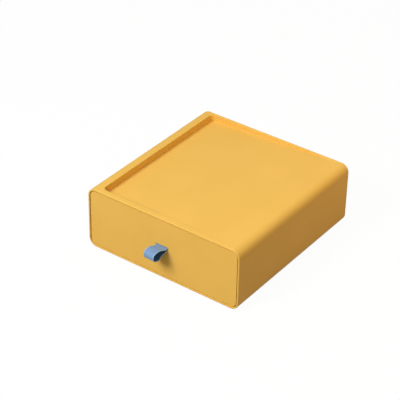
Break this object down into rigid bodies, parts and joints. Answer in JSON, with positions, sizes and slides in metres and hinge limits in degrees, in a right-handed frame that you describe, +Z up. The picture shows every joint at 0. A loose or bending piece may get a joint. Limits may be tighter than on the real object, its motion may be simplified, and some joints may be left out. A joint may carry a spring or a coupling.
{
  "type": "stackable drawer box",
  "caption": "Low stackable desk drawer box: rounded sleeve with a wedge-shaped tray in its top and one drawer that slides out on a ribbon pull.",
  "frame": {"origin": "middle of the whole footprint, ribbon loop included, on the surface that the foot pads stand on", "axes": "+X to the right seen from the front, +Y to the back (the drawer opens along -Y), +Z up"},
  "size_m": [0.2, 0.2322, 0.0758],
  "materials": {
    "case_plastic": "fine matte moulded, warm yellow",
    "drawer_plastic": "fine matte moulded, warm yellow",
    "ribbon_weave": "woven grosgrain, steel blue",
    "clamp_plastic": "plain moulded, off-white",
    "rail_plastic": "slippery, natural white",
    "bumper_rubber": "soft, pale grey",
    "foot_rubber": "soft, grey",
    "screw_steel": "zinc plated"
  },
  "bodies": {
    "case": {"case_shell": "case_plastic", "rear_panel": "case_plastic", "rear_bumper_left": "bumper_rubber", "rear_bumper_right": "bumper_rubber", "guide_rail_left": "rail_plastic", "guide_rail_right": "rail_plastic", "floor_glide_left": "rail_plastic", "floor_glide_right": "rail_plastic", "foot_pad_front_left": "foot_rubber", "foot_pad_front_right": "foot_rubber", "foot_pad_rear_left": "foot_rubber", "foot_pad_rear_right": "foot_rubber"},
    "drawer": {"drawer_tub": "drawer_plastic", "drawer_front": "drawer_plastic", "pull_ribbon": "ribbon_weave", "ribbon_clamp": "clamp_plastic", "clamp_screws": "screw_steel", "front_screws": "screw_steel"}
  },
  "joints": [
    {"name": "drawer_slide", "type": "slide", "parent": "case", "child": "drawer", "axis": [0, -1, 0], "range_m": [0, 0.15]}
  ]
}
